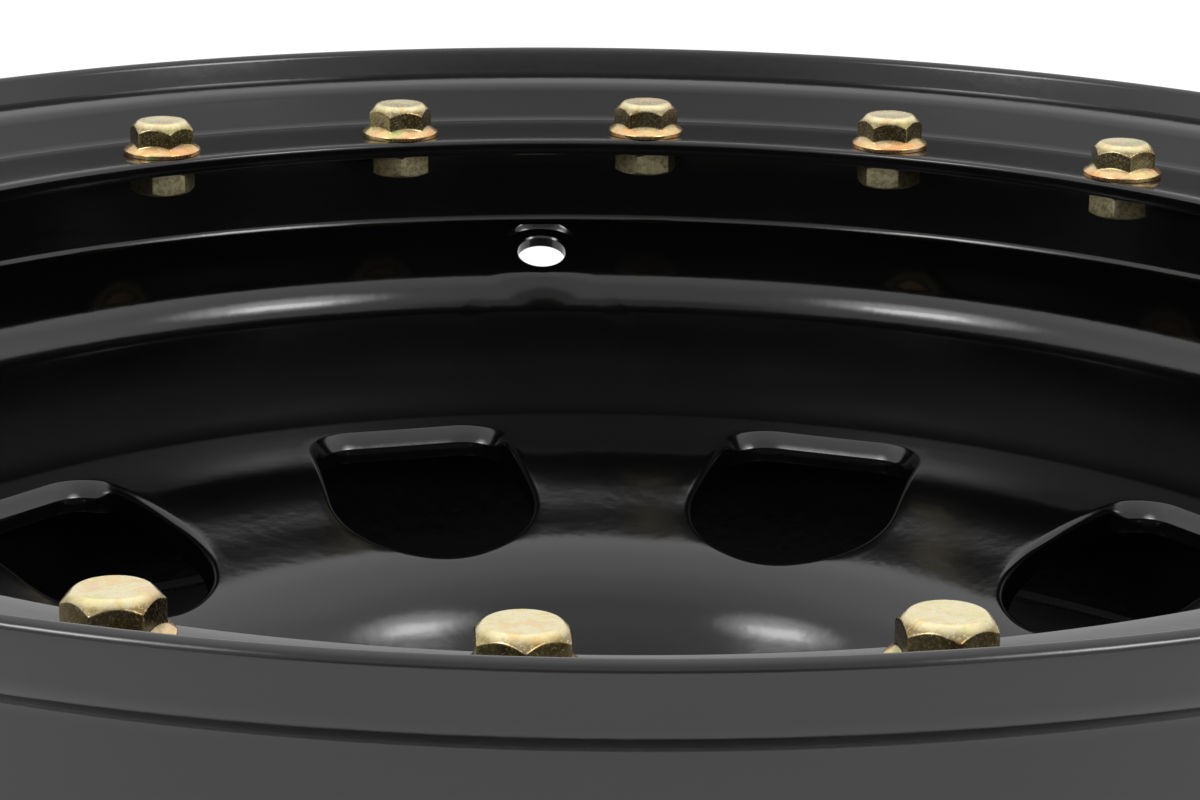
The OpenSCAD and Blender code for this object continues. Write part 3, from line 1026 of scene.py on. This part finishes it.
web_face = LIP_TOP - CURL_DEPTH + RIM_SHEET
heel_round = HEEL_BEND + RIM_SHEET / 2
heel_middle = np.array(
    [SEAT_RADIUS - RIM_SHEET / 2 + HEEL_BEND * tan(45 - SEAT_ANGLE / 2), web_face - heel_round]
)


def heel_turn(height):
    """Turn of the bend under the ring at a height, counted from level, in degrees."""
    return math.degrees(math.asin((height - heel_middle[1]) / heel_round))


def ring_section():
    """Closed section of the ring, from its lower outer corner clockwise round.

    The underside is an arc on the rim's bend. The top of the raised edge is a shelf that falls
    from the lip, and an arc turns it into the steep wall. A wider arc joins wall and flat.
    """
    low = RING_TOP - RING_SHEET
    slope = math.radians(RAISED_SLOPE)
    shelf_slope = math.radians(SHELF_SLOPE)
    middle = np.array(SHELF_EDGE)
    middle = middle + RAISED_ROUND * np.array([math.sin(shelf_slope), -math.cos(shelf_slope)])
    wall_top = middle + RAISED_ROUND * np.array([-math.sin(slope), math.cos(slope)])
    wall_foot = wall_top[0] - (wall_top[1] - RING_TOP) / math.tan(slope)
    seam = (wall_foot - SEAM_ROUND * math.tan(slope / 2), RING_TOP + SEAM_ROUND)
    under = arc(heel_middle, heel_round + RING_GAP, 180 - heel_turn(low), 90, 14)
    foot = [[RAISED_FOOT, web_face + RING_GAP]]
    groove = np.array([LIP_SEAM, SHELF_TOP]) + GROOVE
    top = arc(middle, RAISED_ROUND, 90 + SHELF_SLOPE, 90 + RAISED_SLOPE, 24)
    join = arc(seam, SEAM_ROUND, RAISED_SLOPE - 90, -90, 8)
    along = np.linspace(seam[0], RING_INNER + RING_EDGE, 8)[1:-1]
    flat = np.stack([along, np.full(6, RING_TOP)], -1)
    inner = arc((RING_INNER + RING_EDGE, RING_TOP - RING_EDGE), RING_EDGE, 90, 180)
    corner = arc((RING_INNER + UNDER_EDGE, low + UNDER_EDGE), UNDER_EDGE, 180, 270, 3)
    return np.concatenate([under, foot, groove, SHELF, top, join, flat, inner, corner, under[:1]])


section = ring_section()
ring_low = RING_TOP - RING_SHEET
ring_grid = revolve(section, ring_turns(RING_COLUMNS))
make_object("ring", *weld([ring_grid]), BLACK_COAT, ["beadlock_ring"])
print("ring: radius", RING_INNER, "to", round(section[:, 0].max(), 1))

# %% [markdown]
# ## Bolts and nuts
# A hex head is a surface of revolution whose radius changes with the angle: on a flat it is
# the half width divided by a cosine, and at a corner it follows a small arc. The cone that
# chamfers the head cuts each flat in an arch, which comes out by itself, because the chamfer's
# height depends only on the radius.

# %% Hex shapes
HEX_HALF = 6.5
HEX_CORNER_ROUND = 0.45
BOLT_COUNT = 20
BOLT_CIRCLE = 186.0
RING_TURN = 7.5
HEAD_TURNS = [2, 17, 13, 40, 52, 8, 33, 21, 47, 24, 38, 32, 5, 56, 28, 11, 44, 36, 19, 1]
NUT_TURNS = [20, 4, 50, 31, 14, 42, 7, 55, 26, 37, 12, 48, 29, 2, 41, 17, 34, 9, 46, 20]


flat_end = math.degrees(math.atan((HEX_HALF - HEX_CORNER_ROUND) * tan(30) / HEX_HALF))


def hex_turns():
    """Angles in degrees round a hex with a corner at 0, close together at the corners."""
    flat = np.linspace(-flat_end, flat_end, 9)
    edge = flat_end + np.linspace(0, 1, 5)[1:-1] * (60 - 2 * flat_end)
    one = np.concatenate([flat, edge]) + 30
    return np.concatenate([one + 60 * k for k in range(6)] + [[one[0] + 360]])


def hex_radius(turns):
    """Radius of a hex with rounded corners: half width over cosine, or the corner's arc."""
    off = np.abs(turns % 60 - 30)
    flat = HEX_HALF / np.cos(np.radians(off))
    middle = (HEX_HALF - HEX_CORNER_ROUND) / math.cos(math.radians(30))
    off_corner = np.radians(30 - off)
    beside = np.maximum(HEX_CORNER_ROUND**2 - (middle * np.sin(off_corner)) ** 2, 0)
    return np.where(off > flat_end, middle * np.cos(off_corner) + np.sqrt(beside), flat)


def soften(section, rounds, steps=4):
    """Rounds the corners of sections [corner, column, (radius, height)] with small arcs.

    Each corner is replaced by a curve between two points on its arms, at the given distance
    from the corner: (1-t)^2 start + 2t(1-t) corner + t^2 end.
    """
    rows = [section[:1]]
    for i in range(1, len(section) - 1):
        before = section[i - 1] - section[i]
        after = section[i + 1] - section[i]
        reach_before = np.linalg.norm(before, axis=-1, keepdims=True)
        reach_after = np.linalg.norm(after, axis=-1, keepdims=True)
        reach = np.minimum(rounds[i - 1], 0.45 * np.minimum(reach_before, reach_after))
        start = section[i] + before / reach_before * reach
        end = section[i] + after / reach_after * reach
        t = np.linspace(0, 1, steps + 1)[:, None, None]
        rows.append((1 - t) ** 2 * start + 2 * t * (1 - t) * section[i] + t**2 * end)
    rows.append(section[-1:])
    return np.concatenate(rows)


def hex_section(corners, rounds, columns):
    """Softened section from corners (radius, height), each a number or one per column."""
    rows = [[np.broadcast_to(value, columns) for value in corner] for corner in corners]
    return soften(np.stack([np.stack(row, -1) for row in rows]), rounds)


def placed_section(section, turns, number, hex_turn, height):
    """Section turned about its own axis, set on the bolt circle at that bolt's place.

    A bolt's own +Y points away from the wheel's axis, and its hex is turned to the left.
    """
    a = np.radians(turns + hex_turn)
    x = section[..., 0] * np.cos(a)
    y = section[..., 0] * np.sin(a) + BOLT_CIRCLE
    points = np.stack([x, y, section[..., 1] + height], -1)
    return turned(points, RING_TURN + (number - 1) * 360 / BOLT_COUNT)


# %% [markdown]
# A bolt of the ring has a flange under its hex, which slopes down to a thin rim. From the
# top: the flat with a faint hollow left by the upsetting tool, the chamfer, the flats, the
# sloping flange, its rim, the underside, and the shank down to its chamfered end.

# %% Bolts
HEAD_HEIGHT = 7.6
HEAD_FLAT = 5.4
FLANGE_RADIUS_BOLT = 8.8
FLANGE_EDGE = 1.0
FLANGE_RISE = 1.9
FLANGE_NECK = 6.0
SHANK_RADIUS = 4.0
SHANK_LENGTH = 8.7
SHANK_CHAMFER = 0.7
CAP_RADIUS = 0.6
HOLLOW_RADIUS = 3.2
HOLLOW = 0.06


def bolt_section(turns):
    """Corners of the bolt's section at every angle, from the top's middle to the shank's end."""
    r = hex_radius(turns)
    slope = FLANGE_RISE / (FLANGE_RADIUS_BOLT - FLANGE_NECK)
    corners = [
        (CAP_RADIUS, HEAD_HEIGHT - 2 * HOLLOW),
        (HOLLOW_RADIUS, HEAD_HEIGHT - HOLLOW),
        (HEAD_FLAT, HEAD_HEIGHT),
        (r, HEAD_HEIGHT - (r - HEAD_FLAT)),
        (r, FLANGE_EDGE + (FLANGE_RADIUS_BOLT - r) * slope),
        (FLANGE_RADIUS_BOLT, FLANGE_EDGE),
        (FLANGE_RADIUS_BOLT, 0.05),
        (FLANGE_RADIUS_BOLT - 0.35, 0.0),
        (SHANK_RADIUS, 0.0),
        (SHANK_RADIUS, SHANK_CHAMFER - SHANK_LENGTH),
        (SHANK_RADIUS - SHANK_CHAMFER, -SHANK_LENGTH),
        (CAP_RADIUS, -SHANK_LENGTH),
    ]
    rounds = [1.0, 0.5, 0.3, 0.35, 0.22, 0.1, 0.05, 0.05, 0.1, 0.1]
    return hex_section(corners, rounds, len(turns))


turns = hex_turns()
bolt = bolt_section(turns)
for number in range(1, BOLT_COUNT + 1):
    grid = placed_section(bolt, turns, number, HEAD_TURNS[number - 1], RING_TOP)
    make_object(f"bolt_{number:02d}", *capped([grid]), BRIGHT_ZINC, [f"ring_bolt_{number:02d}"])
print("points of a bolt:", bolt.shape[0] * bolt.shape[1])

# %% [markdown]
# A nut is the same hex without a flange, chamfered at both ends, with a hole for the bolt.

# %% Nuts
NUT_HEIGHT = 5.5
NUT_CHAMFER = 0.5
BORE_CHAMFER = 0.4


def nut_section(turns):
    """Closed section of the nut, from the bore's top edge over the outside and back down it."""
    r = hex_radius(turns)
    flat = HEX_HALF - NUT_CHAMFER
    drop = (r - flat) * tan(30)
    corners = [
        (SHANK_RADIUS, NUT_HEIGHT - BORE_CHAMFER),
        (SHANK_RADIUS + BORE_CHAMFER, NUT_HEIGHT),
        (flat, NUT_HEIGHT),
        (r, NUT_HEIGHT - drop),
        (r, drop),
        (flat, 0.0),
        (SHANK_RADIUS + BORE_CHAMFER, 0.0),
        (SHANK_RADIUS, BORE_CHAMFER),
        (SHANK_RADIUS, NUT_HEIGHT - BORE_CHAMFER),
    ]
    return hex_section(corners, [0.1, 0.2, 0.15, 0.15, 0.2, 0.1, 0.02], len(turns))


nut = nut_section(turns)
for number in range(1, BOLT_COUNT + 1):
    grid = placed_section(nut, turns, number, NUT_TURNS[number - 1], ring_low - NUT_HEIGHT)
    make_object(f"nut_{number:02d}", *weld([grid]), DULL_ZINC, [f"ring_nut_{number:02d}"])
print("points of a nut:", nut.shape[0] * nut.shape[1])

# %% [markdown]
# ## Welds
# The disc and the ring are held by short runs of weld. A bead is a fillet that bulges a
# little, with the ripples that the arc leaves, and it tapers to nothing at both ends.

# %% Weld beads
RIPPLE_LENGTH = 1.6
RIPPLE_HEIGHT = 0.12
BEAD_BULGE = 0.9
BEAD_ROOT = 0.15
BEAD_TIP = 0.005
DISC_ARM = 4.5
RING_ARMS = (0.7, 3.5)
DISC_BEAD_TURN = 8
RING_BEAD_TURN = 2.5


def bead(corner, arm_one, arm_two, middle_turn, half_turn):
    """Grid of one bead: a bulging triangle on two arms of a corner, carried round an arc.

    The reach of the bead is 1 along most of its length and falls to nothing at the ends as
    the root of 1 - s^6, and a wave along the arc makes the ripples.
    """
    s = np.linspace(-1, 1, 71)[:, None]
    reach = np.sqrt(np.clip(1 - s**6, 0, 1)) * (1 - BEAD_TIP) + BEAD_TIP
    length = s * math.radians(half_turn) * corner[0]
    wave = RIPPLE_HEIGHT * np.cos(2 * math.pi * length / RIPPLE_LENGTH)
    t = np.linspace(0, 1, 9)[None, :]
    bulge = (BEAD_BULGE + wave) * np.sin(math.pi * t)
    arm_one = np.array(arm_one, float)
    arm_two = np.array(arm_two, float)
    outward = unit(arm_one + arm_two)
    across = (1 - t)[..., None] * arm_one + t[..., None] * arm_two + bulge[..., None] * outward
    section = np.array(corner) + reach[..., None] * across
    root = np.array(corner) - BEAD_ROOT * outward + 0 * section[:, :1]
    section = np.concatenate([root, section, root], 1)
    return around(section, np.radians(middle_turn) + s * math.radians(half_turn))


disc_beads = []
for i in range(WINDOW_COUNT):
    turn = DISC_TURN + i * 360 / WINDOW_COUNT
    corner = (WELL_RADIUS, FLANGE_LOW)
    disc_beads.append(bead(corner, (0, -DISC_ARM), (-DISC_ARM, 0), turn, DISC_BEAD_TURN))
ring_beads = []
for i in range(BOLT_COUNT):
    turn = RING_TURN + (i + 0.5) * 360 / BOLT_COUNT
    corner = (section[0, 0] + RING_GAP, ring_low)
    arms = [(-RING_ARMS[0], -RING_ARMS[1]), (-RING_ARMS[1], 0)]
    ring_beads.append(bead(corner, *arms, turn, RING_BEAD_TURN))
make_object("disc_welds", *capped(disc_beads), BLACK_COAT, ["disc_weld_beads"])
make_object("ring_welds", *capped(ring_beads), BLACK_COAT, ["ring_weld_beads"])
print("beads:", len(disc_beads), "and", len(ring_beads))

# %% [markdown]
# ## Light and ground
# A black gloss coat shows almost nothing but what it mirrors, so the room matters more than the
# paint. The wheel lies on a white floor in a pale room. The light of the room is written as a
# function of direction: a level all round, more from above and from both sides, a soft glow
# behind each shoulder of the photographer, and less from low behind the camera, where the
# photographer stood.

# %% Floor
FLOOR_SIZE = 9.0


def floor():
    """A pale floor under the inboard lip, which keeps the wheel's shadow."""
    points = np.array([[-1, -1, 0], [1, -1, 0], [1, 1, 0], [-1, 1, 0]]) * FLOOR_SIZE / 2
    points[:, 2] = LIP_LOW * MM
    mesh = bpy.data.meshes.new("floor")
    mesh.from_pydata(points.tolist(), [], [[0, 1, 2, 3]])
    material = bpy.data.materials.new("pale_floor")
    recipe = Recipe(material)
    grain = recipe.noise(40, 3.0)
    colour = recipe.mix(grain, rgb(0.90, 0.90, 0.90), rgb(0.94, 0.94, 0.94))
    recipe.surface("ShaderNodeBsdfDiffuse", {"Color": colour})
    mesh.materials.append(material)
    piece = bpy.data.objects.new("floor", mesh)
    scene.collection.objects.link(piece)


floor()
print("floor at height", LIP_LOW, "mm")

# %% Light of the room by direction
ROOM_LEVEL = 1.0
PATCHES = {
    "overhead": (0.30, [("height", 0.62, 0.80), ("ahead", -0.30, 0.05)]),
    "sides": (0.20, [("aside squared", 0.5, 0.9)]),
    "behind": (-0.25, [("backward", 0.35, 0.60), ("height", 0.96, 0.86)]),
    "behind, low": (-0.15, [("backward", 0.80, 0.93), ("height", 0.50, 0.30)]),
    "photographer": (-0.25, [("backward", 0.84, 0.92), ("height", 0.42, 0.33)]),
}
GLOW = 4.0
GLOW_TURN = 132
GLOW_LIFT = 34
GLOW_REACH = math.cos(math.radians(15))
GLOW_FULL = 0.998
GLOW_AHEAD = math.cos(math.radians(GLOW_TURN)) * math.cos(math.radians(GLOW_LIFT))
GLOW_ASIDE = math.sin(math.radians(GLOW_TURN)) * math.cos(math.radians(GLOW_LIFT))
GLOW_HEIGHT = math.sin(math.radians(GLOW_LIFT))


def room():
    """World light: a level plus soft patches, each a smooth function of the ray's direction.

    Ahead, aside and height are the parts of a unit ray along the camera's level direction,
    across it and up. Each patch has a strength, and its share of it rises from none to all
    between two limits of one or two of those parts.
    """
    world = bpy.data.worlds.new("white_room")
    scene.world = world
    recipe = Recipe(world)
    ray = recipe.node("ShaderNodeTexCoord").out("Generated")
    east, north, height = recipe.axes(ray)
    forward = compass(CAMERA_TURN - 180)
    ahead = east * float(forward[0]) + north * float(forward[1])
    aside = east * float(forward[1]) - north * float(forward[0])
    parts = {"ahead": ahead, "backward": 0 - ahead, "height": height}
    parts["aside squared"] = aside * aside
    light = ROOM_LEVEL
    for strength, limits in PATCHES.values():
        shares = [recipe.between(parts[part], low, high) for part, low, high in limits]
        light = light + math.prod(shares) * strength
    for side in (-1, 1):
        along = ahead * GLOW_AHEAD + aside * (side * GLOW_ASIDE) + height * GLOW_HEIGHT
        light = light + recipe.between(along, GLOW_REACH, GLOW_FULL) * GLOW
    lit = recipe.node("ShaderNodeBackground", {"Color": rgb(1, 1, 1), "Strength": light})
    recipe.node("ShaderNodeOutputWorld", {"Surface": lit.out()})


room()
scene.view_settings.view_transform = "Standard"
print("patches of light:", ", ".join(PATCHES), "and two glows")

# %% [markdown]
# Two soft lamps stand behind the camera, one on each side, in the middle of the two glows. They
# draw the long streaks of light along the crease and the crest of the rim. The glow round each
# lamp gives those streaks soft ends. A lamp's strength is worked out from how bright its face
# should look: power is brightness times area times pi.

# %% Lamps
LAMP_DISTANCE = 2.5
LAMP_WIDE = 12
LAMP_HIGH = 9
LAMP_BRIGHTNESS = 6.0


def lamp(name, turn):
    """An area lamp at a turn from the camera's direction, as high as the glow round it."""
    level = compass(CAMERA_TURN - 180 + turn)
    lift = math.radians(GLOW_LIFT)
    place = LAMP_DISTANCE * (level * math.cos(lift) + np.array([0, 0, math.sin(lift)]))
    right = np.cross(level, [0, 0, 1])
    back = place / LAMP_DISTANCE
    light = bpy.data.lights.new(name, "AREA")
    light.shape = "RECTANGLE"
    light.size = 2 * LAMP_DISTANCE * tan(LAMP_WIDE / 2)
    light.size_y = 2 * LAMP_DISTANCE * tan(LAMP_HIGH / 2)
    light.energy = LAMP_BRIGHTNESS * light.size * light.size_y * math.pi
    piece = bpy.data.objects.new(name, light)
    piece.matrix_world = pose(right, np.cross(back, right), back, place)
    scene.collection.objects.link(piece)
    print(name, "power", round(light.energy, 2), "W")


lamp("lamp_left", -GLOW_TURN)
lamp("lamp_right", GLOW_TURN)
